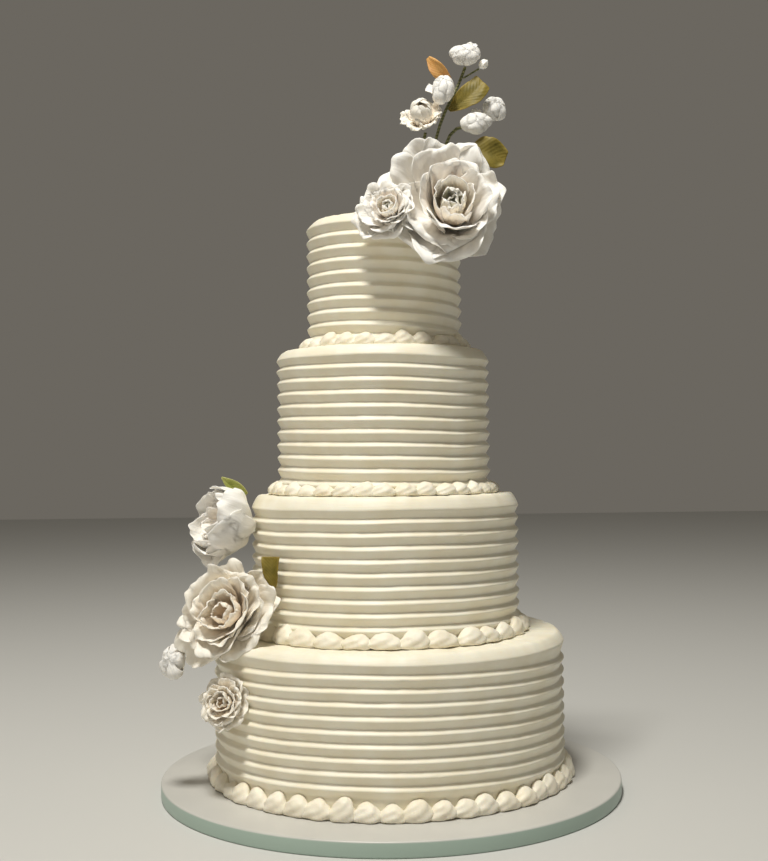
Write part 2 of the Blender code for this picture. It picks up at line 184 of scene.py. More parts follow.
def gum_paste(name, pale, fold, heart):
    """Gum paste: rolled sugar dough pressed on a petal veiner, dry and chalky, dusted in the folds, with
    painted shade in the same fold tint deepening toward each petal's foot. Its veins fan out from the petal's
    foot (2 mm apart) and its thin edges let some light through."""
    material, tree, shader = new_material(
        name, roughness=0.55, subsurface_weight=0.55, subsurface_radius=(1.0, 0.93, 0.84),
        subsurface_scale=2.2 * MM, specular_ior_level=0.35)
    dust = add(tree, "ShaderNodeAttribute", attribute_name="dust").outputs["Fac"]
    core = add(tree, "ShaderNodeAttribute", attribute_name="core").outputs["Fac"]
    place = add(tree, "ShaderNodeTexCoord").outputs["Object"]
    patch = add(tree, "ShaderNodeTexNoise", {"Vector": place, "Scale": 60.0, "Detail": 2.0})
    spread = add(tree, "ShaderNodeMapRange", {"Value": patch, "From Min": 0.3, "From Max": 0.7,
                                              "To Min": 0.55, "To Max": 1.25})
    # the fold tint is partly petal dusting and partly painted shade, strongest toward each petal's foot
    amount = add(tree, MATH, {0: dust, 1: spread}, operation="MULTIPLY", use_clamp=True)
    dusted_and_shaded = add(tree, "ShaderNodeMix", {"Factor": amount, 6: linear(pale), 7: linear(fold)},
                  data_type="RGBA")
    cored = add(tree, "ShaderNodeMix", {"Factor": core, 6: dusted_and_shaded, 7: linear(heart)},
                data_type="RGBA")
    tree.links.new(cored.outputs[2], shader.inputs["Base Color"])
    petal = add(tree, "ShaderNodeAttribute", attribute_name="petal").outputs["Vector"]
    fan = add(tree, VECTOR, {0: petal, 1: (7.0, 1.3, 1.0)}, operation="MULTIPLY")
    veins = add(tree, "ShaderNodeTexNoise", {"Vector": fan, "Scale": 1.6, "Detail": 3.0})
    bump = add(tree, "ShaderNodeBump", {"Height": veins, "Strength": 0.55, "Distance": 1.0 * MM})
    tree.links.new(bump.outputs[0], shader.inputs["Normal"])
    return material


def dusted_leaf(name, middle, edge, patch):
    """A gum paste leaf brushed with petal dusting and glazed: deeper by the midrib, browned at the edge, with
    side veins 4 mm apart."""
    material, tree, shader = new_material(
        name, roughness=0.55, subsurface_weight=0.08, subsurface_radius=(1.0, 0.8, 0.3),
        subsurface_scale=1.0 * MM, specular_ior_level=0.28)
    blade = add(tree, "ShaderNodeAttribute", attribute_name="petal").outputs["Vector"]
    # on leaves this attribute holds only dusting: browner at the edge and a little at the foot
    rim = add(tree, "ShaderNodeAttribute", attribute_name="dust").outputs["Fac"]
    place = add(tree, "ShaderNodeTexCoord").outputs["Object"]
    clouds = add(tree, "ShaderNodeTexNoise", {"Vector": place, "Scale": 110.0, "Detail": 3.0})
    cloudy = add(tree, "ShaderNodeMapRange", {"Value": clouds, "From Min": 0.42, "From Max": 0.68})
    base = add(tree, "ShaderNodeMix", {"Factor": cloudy, 6: linear(middle), 7: linear(patch)},
               data_type="RGBA")
    edged = add(tree, "ShaderNodeMix", {"Factor": rim, 6: base, 7: linear(edge)}, data_type="RGBA")
    tree.links.new(edged.outputs[2], shader.inputs["Base Color"])
    parts = add(tree, "ShaderNodeSeparateXYZ", {0: blade})
    side = add(tree, MATH, {0: parts.outputs["X"]}, operation="ABSOLUTE")
    slant = add(tree, MATH, {0: side, 1: -0.35, 2: parts.outputs["Y"]}, operation="MULTIPLY_ADD")
    waves = add(tree, MATH, {0: slant, 1: 55.0}, operation="MULTIPLY")
    veins = add(tree, MATH, {0: waves}, operation="SINE")
    bump = add(tree, "ShaderNodeBump", {"Height": veins, "Strength": 0.13, "Distance": 0.5 * MM})
    tree.links.new(bump.outputs[0], shader.inputs["Normal"])
    return material


def floral_tape():
    """Crepe paper tape, waxed and stretched round wire in overlapping turns 3 mm apart."""
    material, tree, shader = new_material("floral tape", roughness=0.6, specular_ior_level=0.3)
    place = add(tree, "ShaderNodeTexCoord").outputs["Object"]
    turns = add(tree, "ShaderNodeTexWave", {"Vector": place, "Scale": 105.0, "Distortion": 3.0},
                bands_direction="Z")
    tone = shade_ramp(add(tree, "ShaderNodeValToRGB", {"Fac": turns}),
                      ((0.0, "#59603A"), (1.0, "#8A8A63")))
    tree.links.new(tone.outputs[0], shader.inputs["Base Color"])
    bump = add(tree, "ShaderNodeBump", {"Height": turns, "Strength": 0.4, "Distance": 0.2 * MM})
    tree.links.new(bump.outputs[0], shader.inputs["Normal"])
    return material


def drum_foil():
    """Pearl foil paper glued over a dense card drum, darker and greener on its edge than on its top: smooth,
    satin, with a faint 2 mm pressed grain."""
    material, tree, shader = new_material("drum foil paper", roughness=0.38, specular_ior_level=0.5)
    place = add(tree, "ShaderNodeTexCoord").outputs["Object"]
    clouds = add(tree, "ShaderNodeTexNoise", {"Vector": place, "Scale": 14.0, "Detail": 2.0})
    tone = shade_ramp(add(tree, "ShaderNodeValToRGB", {"Fac": clouds}),
                      ((0.35, "#C4C3BE"), (0.65, "#CAC9C4")))
    height = add(tree, "ShaderNodeSeparateXYZ", {0: place}).outputs["Z"]
    # the edge below the top's rim takes a darker, greener colour
    below_top = add(tree, "ShaderNodeMapRange", {"Value": height, "From Min": BOARD_THICKNESS - 0.6 * MM,
                                                 "From Max": BOARD_THICKNESS - 1.6 * MM})
    banded = add(tree, "ShaderNodeMix", {"Factor": below_top, 6: tone.outputs[0], 7: linear("#A6BAAF")},
                 data_type="RGBA")
    tree.links.new(banded.outputs[2], shader.inputs["Base Color"])
    grain = add(tree, "ShaderNodeTexNoise", {"Vector": place, "Scale": 500.0, "Detail": 1.0})
    bump = add(tree, "ShaderNodeBump", {"Height": grain, "Strength": 0.08, "Distance": 0.2 * MM})
    tree.links.new(bump.outputs[0], shader.inputs["Normal"])
    return material


COMBED = buttercream("combed buttercream", "#F3EFDF", "#EDE6D0", combed=True)
PIPED = buttercream("piped buttercream", "#F3EEDF", "#EDE5D0", combed=False)
# the second colour of each gum paste is its fold tint: petal dusting and painted shade
WHITE_PASTE = gum_paste("white gum paste", "#FDFAF3", "#F7DFC8", "#DEDFB6")
CREAM_PASTE = gum_paste("cream gum paste", "#FCF5E8", "#F2D3B2", "#F0DCB8")
OLIVE_LEAF = dusted_leaf("olive dusted gum paste", "#7D7030", "#A08A3E", "#625A20")
TAN_LEAF = dusted_leaf("tan dusted gum paste", "#C79A5C", "#D9A45E", "#C08A4E")
LIME_LEAF = dusted_leaf("lime dusted gum paste", "#9DA552", "#D6D296", "#8B9340")
TAPE = floral_tape()
FOIL = drum_foil()


# ---------------------------------------------------------------- meshes and places
def within(node, x, y, z):
    """The point at these shares of a CAD node's box."""
    low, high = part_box(node)
    return Vector((low.x + x * (high.x - low.x), low.y + y * (high.y - low.y), low.z + z * (high.z - low.z)))


def height_of(node):
    low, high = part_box(node)
    return high.z - low.z


def link(name, mesh, material):
    obj = bpy.data.objects.new(name, mesh)
    bpy.context.scene.collection.objects.link(obj)
    if material:
        mesh.materials.clear()
        mesh.materials.append(material)
    return obj


def settle(obj, slot, *nodes):
    """The piece rides on the cake and stands for its CAD nodes; the slot is not used."""
    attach(obj, BODY)
    if nodes:
        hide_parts(*nodes)
    return obj


def thicken(obj, thickness, levels=1):
    """Gives a sheet its thickness and rounds its edges."""
    wall = obj.modifiers.new("thickness", "SOLIDIFY")
    wall.thickness = thickness
    wall.offset = 0
    smooth = obj.modifiers.new("rounding", "SUBSURF")
    smooth.levels = levels
    smooth.render_levels = levels
    return obj


# ---------------------------------------------------------------- geometry nodes
def new_recipe(name, sizes):
    """A Geometry Nodes tree with a named input for each size; returns the tree and the inputs' sockets."""
    tree = bpy.data.node_groups.new(name, "GeometryNodeTree")
    tree.interface.new_socket("Geometry", in_out="OUTPUT", socket_type="NodeSocketGeometry")
    for size, kind in sizes.items():
        tree.interface.new_socket(size, in_out="INPUT", socket_type="NodeSocket" + kind)
    given = tree.nodes.new("NodeGroupInput")
    return tree, given.outputs


def finish_recipe(tree, geometry, given):
    """Ends a tree: smooth shading, real geometry instead of instances, and the material."""
    smooth = add(tree, "GeometryNodeSetShadeSmooth", {"Geometry": geometry})
    real = add(tree, "GeometryNodeRealizeInstances", {"Geometry": smooth})
    coloured = add(tree, "GeometryNodeSetMaterial", {"Geometry": real, "Material": given["Material"]})
    add(tree, "NodeGroupOutput", {0: coloured})


def grow(name, tree, values):
    """Runs a tree with these values and keeps the result as a plain mesh."""
    seed_mesh = bpy.data.meshes.new(name + " start")
    obj = bpy.data.objects.new(name + " start", seed_mesh)
    bpy.context.scene.collection.objects.link(obj)
    modifier = obj.modifiers.new("recipe", "NODES")
    modifier.node_group = tree
    for item in tree.interface.items_tree:
        if item.in_out == "INPUT":
            modifier[item.identifier] = values[item.name]
    graph = bpy.context.evaluated_depsgraph_get()
    mesh = bpy.data.meshes.new_from_object(obj.evaluated_get(graph), depsgraph=graph)
    obj.modifiers.remove(modifier)
    bpy.data.objects.remove(obj)
    mesh.name = name
    return link(name, mesh, None)


def combed_tier_recipe():
    """A tier turned under a comb: rows of faces run down from the first crease, up over the lip and in to the
    middle of the top."""
    tree, given = new_recipe("combed tier", {
        "Radius": "Float", "Aside": "Float", "Base": "Float", "Height": "Float", "First Crease": "Float",
        "Pitch": "Float", "Depth": "Float", "Tilt": "Float", "Sag": "Float", "Rise": "Float",
        "Rise Angle": "Float", "Ridges": "Float",
        "Columns": "Int", "Rows": "Int", "Crease Row": "Int", "Seed": "Float", "Material": "Material"})
    last_row = add(tree, MATH, {0: given["Rows"], 1: 1.0}, operation="SUBTRACT")
    grid = add(tree, "GeometryNodeMeshGrid", {"Size X": math.tau, "Size Y": last_row,
                                              "Vertices X": given["Columns"], "Vertices Y": given["Rows"]})
    flat = add(tree, "ShaderNodeSeparateXYZ", {0: add(tree, "GeometryNodeInputPosition")})
    turn = flat.outputs["X"]
    row = add(tree, MATH, {0: last_row, 1: 0.5, 2: flat.outputs["Y"]}, operation="MULTIPLY_ADD")
    above = add(tree, MATH, {0: row, 1: given["Crease Row"]}, operation="SUBTRACT")
    below = add(tree, MATH, {0: above, 1: -1.0 / ROWS_PER_RIDGE}, operation="MULTIPLY")
    ridge = add(tree, MATH, {0: below, 1: 0.0}, operation="MAXIMUM")
    tooth = add(tree, MATH, {0: ridge}, operation="FRACT")
    is_combed = add(tree, MATH, {0: ridge, 1: given["Ridges"]}, operation="LESS_THAN")
    combed_part = add(tree, MATH, {0: tooth, 1: is_combed}, operation="MULTIPLY")
    comb = shape_curve(add(tree, "ShaderNodeFloatCurve", {"Value": combed_part}), TOOTH)
    lip = add(tree, MATH, {0: above, 1: 1.0 / LIP_ROWS}, operation="MULTIPLY", use_clamp=True)
    lip_out = shape_curve(add(tree, "ShaderNodeFloatCurve", {"Value": lip}), LIP_OUT)
    is_lip = add(tree, MATH, {0: above, 1: 0.0}, operation="GREATER_THAN")
    out = add(tree, "ShaderNodeMix", {"Factor": is_lip, 2: comb, 3: lip_out}, data_type="FLOAT")
    over_lip = add(tree, MATH, {0: above, 1: LIP_ROWS}, operation="SUBTRACT")
    shoulder = add(tree, MATH, {0: over_lip, 1: 1.0 / SHOULDER_ROWS}, operation="MULTIPLY", use_clamp=True)
    shoulder_up = shape_curve(add(tree, "ShaderNodeFloatCurve", {"Value": shoulder}), SHOULDER_UP)
    shoulder_in = shape_curve(add(tree, "ShaderNodeFloatCurve", {"Value": shoulder}), SHOULDER_IN)
    over_shoulder = add(tree, MATH, {0: over_lip, 1: SHOULDER_ROWS}, operation="SUBTRACT")
    top_share = add(tree, MATH, {0: over_shoulder, 1: 1.0 / TOP_ROWS}, operation="MULTIPLY",
                    use_clamp=True)

    # where a point would be on a plain drum, for the unevenness
    sine = add(tree, MATH, {0: turn}, operation="SINE")
    cosine = add(tree, MATH, {0: turn}, operation="COSINE")
    across = add(tree, "ShaderNodeCombineXYZ", {0: sine, 1: cosine, 2: 0.0})
    ridge_up = add(tree, "ShaderNodeCombineXYZ", {0: 0.0, 1: 0.0, 2: ridge})
    round_drum = add(tree, VECTOR, {0: across, "Scale": given["Radius"]}, operation="SCALE")
    waves = add(tree, VECTOR, {0: ridge_up, 1: (1, 1, 0.004), 2: round_drum}, operation="MULTIPLY_ADD")
    drift = add(tree, "ShaderNodeTexNoise", {"Vector": waves, "W": given["Seed"], "Scale": 14.0,
                                             "Detail": 1.0}, noise_dimensions="4D")
    lumps = add(tree, "ShaderNodeTexNoise", {"Vector": add(
        tree, VECTOR, {0: ridge_up, 1: (1, 1, 0.011), 2: round_drum}, operation="MULTIPLY_ADD"),
        "W": given["Seed"], "Scale": 75.0, "Detail": 2.0}, noise_dimensions="4D")
    nicks = add(tree, "ShaderNodeTexNoise", {"Vector": add(
        tree, VECTOR, {0: ridge_up, 1: (1, 1, 0.033), 2: round_drum}, operation="MULTIPLY_ADD"),
        "W": given["Seed"], "Scale": 150.0, "Detail": 1.0}, noise_dimensions="4D")

    # the comb's rise and fall round the tier: its tilt fades over the shoulder, its sag over the lip
    tilt = add(tree, MATH, {0: sine, 1: given["Tilt"]}, operation="MULTIPLY")
    from_rise = add(tree, MATH, {0: turn, 1: given["Rise Angle"]}, operation="SUBTRACT")
    rise_share = add(tree, MATH, {0: from_rise, 1: 3.2}, operation="MULTIPLY")
    rise_square = add(tree, MATH, {0: rise_share, 1: rise_share}, operation="MULTIPLY")
    rise_fall = add(tree, MATH, {0: math.exp(-1), 1: rise_square}, operation="POWER")
    drifted = add(tree, MATH, {0: drift, 1: 0.5}, operation="SUBTRACT")
    strayed = add(tree, MATH, {0: drifted, 1: COMB_WANDER}, operation="MULTIPLY")
    risen = add(tree, MATH, {0: rise_fall, 1: given["Rise"], 2: strayed}, operation="MULTIPLY_ADD")
    tilted = add(tree, MATH, {0: risen, 1: tilt}, operation="SUBTRACT")
    held = add(tree, MATH, {0: 1.0, 1: shoulder_up}, operation="SUBTRACT")
    tilt_up = add(tree, MATH, {0: tilted, 1: held}, operation="MULTIPLY")
    squared = add(tree, MATH, {0: sine, 1: sine}, operation="MULTIPLY")
    sag = add(tree, MATH, {0: squared, 1: given["Sag"]}, operation="MULTIPLY")
    under_lip = add(tree, MATH, {0: 1.0, 1: lip}, operation="SUBTRACT")
    sag_down = add(tree, MATH, {0: sag, 1: under_lip}, operation="MULTIPLY")
    shifted = add(tree, MATH, {0: tilt_up, 1: sag_down}, operation="SUBTRACT")

    # height
    crease = add(tree, MATH, {0: given["Height"], 1: given["First Crease"]}, operation="SUBTRACT")
    lowered = add(tree, MATH, {0: ridge, 1: given["Pitch"]}, operation="MULTIPLY")
    wall_up = add(tree, MATH, {0: crease, 1: lowered}, operation="SUBTRACT")
    lip_height = add(tree, MATH, {0: given["Pitch"], 1: 1 - CREST_PLACE}, operation="MULTIPLY")
    lip_rise = add(tree, MATH, {0: lip, 1: lip_height, 2: wall_up}, operation="MULTIPLY_ADD")
    shoulder_height = add(tree, MATH, {0: given["First Crease"], 1: lip_height}, operation="SUBTRACT")
    shoulder_rise = add(tree, MATH, {0: shoulder_up, 1: shoulder_height, 2: lip_rise},
                        operation="MULTIPLY_ADD")
    raised = add(tree, MATH, {0: shoulder_rise, 1: shifted}, operation="ADD")
    lumpy = add(tree, MATH, {0: lumps, 1: 0.5}, operation="SUBTRACT")
    lip_lumps = add(tree, MATH, {0: lumpy, 1: shoulder_up}, operation="MULTIPLY")
    uneven_lip = add(tree, MATH, {0: lip_lumps, 1: LIP_LUMP, 2: raised}, operation="MULTIPLY_ADD")

    # the palette knife's strokes on top, round the tier
    inward_share = add(tree, MATH, {0: 1.0, 1: top_share}, operation="SUBTRACT")
    knife = add(tree, "ShaderNodeCombineXYZ", {
        0: add(tree, MATH, {0: inward_share, 1: given["Radius"]}, operation="MULTIPLY"),
        1: add(tree, MATH, {0: turn, 1: 0.012}, operation="MULTIPLY"), 2: 0.0})
    strokes = add(tree, "ShaderNodeTexNoise", {"Vector": knife, "W": given["Seed"], "Scale": 110.0,
                                               "Detail": 2.0}, noise_dimensions="4D")
    stroke_up = add(tree, MATH, {0: strokes, 1: 0.5}, operation="SUBTRACT")
    stroke_fade = add(tree, MATH, {0: top_share, 1: 8.0}, operation="MULTIPLY", use_clamp=True)
    stroked = add(tree, MATH, {0: stroke_up, 1: stroke_fade}, operation="MULTIPLY")
    height = add(tree, MATH, {0: stroked, 1: KNIFE_STROKE, 2: uneven_lip}, operation="MULTIPLY_ADD")
    height = add(tree, MATH, {0: height, 1: 0.0}, operation="MAXIMUM")

    # distance from the axis
    nick = add(tree, "ShaderNodeMapRange", {"Value": nicks, "From Min": 0.70, "From Max": 0.80})
    nick_out = add(tree, MATH, {0: nick, 1: comb}, operation="MULTIPLY")
    lump_out = add(tree, MATH, {0: lumpy, 1: WALL_LUMP}, operation="MULTIPLY")
    dented = add(tree, MATH, {0: nick_out, 1: -NICK_DEPTH, 2: lump_out}, operation="MULTIPLY_ADD")
    short = add(tree, MATH, {0: out, 1: 1.0}, operation="SUBTRACT")
    dug = add(tree, MATH, {0: short, 1: given["Depth"], 2: given["Radius"]}, operation="MULTIPLY_ADD")
    wall_out = add(tree, MATH, {0: dug, 1: dented}, operation="ADD")
    side = add(tree, MATH, {0: shoulder_in, 1: -SHOULDER, 2: wall_out}, operation="MULTIPLY_ADD")
    closing = add(tree, MATH, {0: row, 1: 1.0}, operation="MINIMUM")
    inward_side = add(tree, MATH, {0: side, 1: inward_share}, operation="MULTIPLY")
    radius = add(tree, MATH, {0: inward_side, 1: closing}, operation="MULTIPLY")

    x = add(tree, MATH, {0: radius, 1: sine, 2: given["Aside"]}, operation="MULTIPLY_ADD")
    y = add(tree, MATH, {0: radius, 1: cosine}, operation="MULTIPLY")
    y = add(tree, MATH, {0: y, 1: -1.0}, operation="MULTIPLY")
    z = add(tree, MATH, {0: height, 1: given["Base"]}, operation="ADD")
    along = add(tree, "ShaderNodeCombineXYZ", {
        0: add(tree, MATH, {0: turn, 1: given["Radius"]}, operation="MULTIPLY"), 1: shoulder_rise,
        2: top_share})
    marked = add(tree, "GeometryNodeStoreNamedAttribute", {"Geometry": grid, "Name": "comb", "Value": along},
                 data_type="FLOAT_VECTOR", domain="CORNER")
    turned = add(tree, "GeometryNodeSetPosition", {
        "Geometry": marked, "Position": add(tree, "ShaderNodeCombineXYZ", {0: x, 1: y, 2: z})})
    closed = add(tree, "GeometryNodeMergeByDistance", {"Geometry": turned, "Distance": 0.02 * MM})
    finish_recipe(tree, closed, given)
    return tree


# a comb tooth from one crease down to the next: share of the ridge's height, share of its depth
TOOTH = ((0.0, 0.0), (0.07, 0.16), (0.18, 0.48), (0.28, 0.80), (0.34, 0.96), (0.38, 1.0), (0.44, 0.94),
         (0.58, 0.71), (0.78, 0.37), (0.93, 0.11), (1.0, 0.0))
# from the first crease up to the topmost crest
LIP_OUT = ((0.0, 0.0), (0.10, 0.13), (0.50, 0.52), (0.86, 0.90), (0.95, 0.98), (1.0, 1.0))
# from the topmost crest up and in to the flat top
SHOULDER_UP = ((0.0, 0.0), (0.15, 0.16), (0.50, 0.58), (0.75, 0.86), (0.90, 0.97), (1.0, 1.0))
SHOULDER_IN = ((0.0, 0.0), (0.10, 0.05), (0.50, 0.38), (0.75, 0.66), (0.90, 0.86), (1.0, 1.0))


def axis_of(node):
    """How far to the right a tier's axis stands, and its radius."""
    low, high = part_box(node)
    return (low.x + high.x) / 2, (high.x - low.x) / 2


def make_tiers():
    recipe = combed_tier_recipe()
    for seed, (node, combing) in enumerate(COMBING.items()):
        first_crease, pitch, tilt, sag, rise = [value * MM for value in combing[:5]]
        low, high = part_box(node)
        aside, radius = axis_of(node)
        height = high.z - low.z
        wall_rows = math.ceil((height - first_crease) / pitch * ROWS_PER_RIDGE)
        tier = grow(node.replace("tier", "icing"), recipe, {
            "Radius": radius, "Aside": aside, "Base": low.z, "Height": height,
            "First Crease": first_crease, "Pitch": pitch, "Depth": RIDGE_DEPTH, "Tilt": tilt,
            "Sag": sag, "Rise": rise, "Rise Angle": math.radians(combing[5]),
            "Ridges": float(combing[6]),
            "Columns": round(math.tau * radius / ICING_COLUMN),
            "Rows": wall_rows + LIP_ROWS + SHOULDER_ROWS + TOP_ROWS + 2, "Crease Row": wall_rows + 1,
            "Seed": 3.7 * seed + 1, "Material": COMBED})
        settle(tier, "buttercream", node)


def piped_border_recipe():
    """A ring of piped shells: each starts as a drum of faces, is shaped as one squeeze of the bag, and is
    wrapped round the foot of its tier."""
    tree, given = new_recipe("piped shell border", {
        "Radius": "Float", "Aside": "Float", "Base": "Float", "Shells": "Int", "Height": "Float",
        "Reach": "Float", "Unevenness": "Float", "Seed": "Int", "Material": "Material"})
    shells = add(tree, "GeometryNodeMeshLine", {"Count": given["Shells"], "Offset": (0, 0, 0)})
    number = add(tree, "GeometryNodeInputIndex")
    counted = add(tree, "GeometryNodeStoreNamedAttribute", {"Geometry": shells, "Name": "shell",
                                                            "Value": number},
                  data_type="INT", domain="POINT")
    drum = add(tree, "GeometryNodeMeshCylinder", {"Vertices": 28, "Side Segments": 14, "Radius": 1.0,
                                                  "Depth": 1.0}, fill_type="TRIANGLE_FAN")
    copies = add(tree, "GeometryNodeInstanceOnPoints", {"Points": counted, "Instance": drum.outputs["Mesh"]})
    real = add(tree, "GeometryNodeRealizeInstances", {"Geometry": copies})
    shell = add(tree, "GeometryNodeInputNamedAttribute", {"Name": "shell"}, data_type="INT")
    flat = add(tree, "ShaderNodeSeparateXYZ", {0: add(tree, "GeometryNodeInputPosition")})
    up = add(tree, MATH, {0: flat.outputs["Z"], 1: 0.5}, operation="ADD")

    chances = []
    for offset in range(6):
        seed = add(tree, MATH, {0: given["Seed"], 1: 10.0 * offset}, operation="ADD")
        chances.append(add(tree, "FunctionNodeRandomValue", {2: -1.0, 3: 1.0, "ID": shell, "Seed": seed},
                           data_type="FLOAT"))
    wide, tall, deep, lean, place, twist = chances

    # swirled grooves that the nozzle leaves
    round_shell = add(tree, MATH, {0: flat.outputs["X"], 1: flat.outputs["Y"]}, operation="ARCTAN2")
    wound = add(tree, MATH, {0: up, 1: 2.6, 2: round_shell}, operation="MULTIPLY_ADD")
    phase = add(tree, MATH, {0: twist, 1: 3.0, 2: wound}, operation="MULTIPLY_ADD")
    grooves = add(tree, MATH, {0: add(tree, MATH, {0: phase, 1: 5.0}, operation="MULTIPLY")},
                  operation="SINE")
    groove = add(tree, MATH, {0: grooves, 1: 0.045, 2: 1.0}, operation="MULTIPLY_ADD")
    waist = shape_curve(add(tree, "ShaderNodeFloatCurve", {"Value": up}), SHELL_WIDTH)
    belly = shape_curve(add(tree, "ShaderNodeFloatCurve", {"Value": up}), SHELL_REACH)
    waist = add(tree, MATH, {0: waist, 1: groove}, operation="MULTIPLY")
    belly = add(tree, MATH, {0: belly, 1: groove}, operation="MULTIPLY")

    # one shell's own size
    def varied(chance, share):
        spread = add(tree, MATH, {0: given["Unevenness"], 1: share}, operation="MULTIPLY")
        return add(tree, MATH, {0: chance, 1: spread, 2: 1.0}, operation="MULTIPLY_ADD")

    turn_each = add(tree, MATH, {0: math.tau, 1: given["Shells"]}, operation="DIVIDE")
    half_turn = add(tree, MATH, {0: turn_each, 1: 0.64}, operation="MULTIPLY")
    sideways = add(tree, MATH, {0: flat.outputs["X"], 1: waist}, operation="MULTIPLY")
    leaning = add(tree, MATH, {0: up, 1: lean}, operation="MULTIPLY")
    leant = add(tree, MATH, {0: leaning, 1: 0.22, 2: sideways}, operation="MULTIPLY_ADD")
    widened = add(tree, MATH, {0: leant, 1: varied(wide, 0.6)}, operation="MULTIPLY")
    side_turn = add(tree, MATH, {0: widened, 1: half_turn}, operation="MULTIPLY")
    jitter = add(tree, MATH, {0: place, 1: 0.10, 2: shell}, operation="MULTIPLY_ADD")
    turn = add(tree, MATH, {0: jitter, 1: turn_each, 2: side_turn}, operation="MULTIPLY_ADD")

    outward = add(tree, MATH, {0: flat.outputs["Y"], 1: -0.60, 2: 0.40}, operation="MULTIPLY_ADD")
    reached = add(tree, MATH, {0: outward, 1: belly}, operation="MULTIPLY")
    deeper = add(tree, MATH, {0: reached, 1: varied(deep, 0.5)}, operation="MULTIPLY")
    radius = add(tree, MATH, {0: deeper, 1: given["Reach"], 2: given["Radius"]}, operation="MULTIPLY_ADD")
    risen = add(tree, MATH, {0: up, 1: given["Height"]}, operation="MULTIPLY")
    taller = add(tree, MATH, {0: risen, 1: varied(tall, 1.0)}, operation="MULTIPLY")
    z = add(tree, MATH, {0: taller, 1: given["Base"]}, operation="ADD")
    x = add(tree, MATH, {0: radius, 1: add(tree, MATH, {0: turn}, operation="SINE"), 2: given["Aside"]},
            operation="MULTIPLY_ADD")
    y = add(tree, MATH, {0: radius, 1: add(tree, MATH, {0: turn}, operation="COSINE")},
            operation="MULTIPLY")
    y = add(tree, MATH, {0: y, 1: -1.0}, operation="MULTIPLY")
    swirl = add(tree, "ShaderNodeCombineXYZ", {0: add(tree, MATH, {0: grooves, 1: 0.2}, operation="MULTIPLY"),
                                               1: up, 2: shell})
    marked = add(tree, "GeometryNodeStoreNamedAttribute", {"Geometry": real, "Name": "swirl", "Value": swirl},
                 data_type="FLOAT_VECTOR", domain="POINT")
    piped = add(tree, "GeometryNodeSetPosition", {
        "Geometry": marked, "Position": add(tree, "ShaderNodeCombineXYZ", {0: x, 1: y, 2: z})})

    # soft dents of half a shell's size, none below the base
    dents = add(tree, "ShaderNodeTexNoise", {"Vector": add(tree, "GeometryNodeInputPosition"),
                                             "Scale": 120.0, "Detail": 1.5, "W": given["Seed"]},
                noise_dimensions="4D")
    push = add(tree, MATH, {0: dents, 1: 0.5}, operation="SUBTRACT")
    pushed = add(tree, MATH, {0: push, 1: SHELL_DENT}, operation="MULTIPLY")
    shove = add(tree, VECTOR, {0: add(tree, "GeometryNodeInputNormal"), "Scale": pushed},
                operation="SCALE")
    dented = add(tree, "GeometryNodeSetPosition", {"Geometry": piped, "Offset": shove})
    here = add(tree, "ShaderNodeSeparateXYZ", {0: add(tree, "GeometryNodeInputPosition")})
    floor = add(tree, MATH, {0: here.outputs["Z"], 1: given["Base"]}, operation="MAXIMUM")
    seated = add(tree, "GeometryNodeSetPosition", {"Geometry": dented, "Position": add(
        tree, "ShaderNodeCombineXYZ", {0: here.outputs["X"], 1: here.outputs["Y"], 2: floor})})
    finish_recipe(tree, seated, given)
    return tree


# a shell from its foot up: share of its height, share of its half width or reach
SHELL_WIDTH = ((0.0, 0.90), (0.10, 0.99), (0.28, 0.98), (0.50, 0.82), (0.72, 0.60), (0.90, 0.36), (1.0, 0.05))
SHELL_REACH = ((0.0, 0.88), (0.08, 0.98), (0.25, 1.0), (0.50, 0.94), (0.72, 0.79), (0.88, 0.56), (1.0, 0.10))


def make_borders():
    recipe = piped_border_recipe()
    for seed, (node, (tier, shells, height, reach)) in enumerate(PIPING.items()):
        aside, radius = axis_of(tier)
        border = grow(node.replace("border", "shells"), recipe, {
            "Radius": radius - RIDGE_DEPTH, "Aside": aside, "Base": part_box(tier)[0].z, "Shells": shells,
            "Height": height * MM, "Reach": reach * MM + RIDGE_DEPTH, "Unevenness": 0.20,
            "Seed": 5 + 7 * seed, "Material": PIPED})
        settle(border, "piped_buttercream", node)


def make_board():
    """The drum board: a disc with a soft wrapped edge."""
    edge = 1.6 * MM
    steps = 5
    profile = [(0.0, 0.0)]
    for corner, start in ((edge, -90), (BOARD_THICKNESS - edge, 0)):
        for step in range(steps + 1):
            angle = math.radians(start + 90 * step / steps)
            profile.append((BOARD_RADIUS - edge + edge * math.cos(angle), corner + edge * math.sin(angle)))
    profile += [(BOARD_RADIUS * share, BOARD_THICKNESS) for share in (0.75, 0.5)] + [(0.0, BOARD_THICKNESS)]
    board = link("drum_board", lathe(profile, 220), FOIL)
    settle(board, "board", "board")


def lathe(profile, sides):
    """A smooth turned mesh from (distance out, height) points; an end on the axis closes to one point."""
    builder = bmesh.new()
    rings = []
    for out, up in profile:
        if out == 0:
            rings.append([builder.verts.new((0, 0, up))])
            continue
        ring = []
        for i in range(sides):
            angle = math.tau * i / sides
            ring.append(builder.verts.new((out * math.sin(angle), -out * math.cos(angle), up)))
        rings.append(ring)
    for lower, upper in zip(rings, rings[1:]):
        for i in range(sides):
            corners = [lower[i % len(lower)], lower[(i + 1) % len(lower)],
                       upper[(i + 1) % len(upper)], upper[i % len(upper)]]
            builder.faces.new(list(dict.fromkeys(corners)))
    bmesh.ops.recalc_face_normals(builder, faces=builder.faces)
    mesh = bpy.data.meshes.new("turned")
    builder.to_mesh(mesh)
    builder.free()
    mesh.shade_smooth()
    return mesh


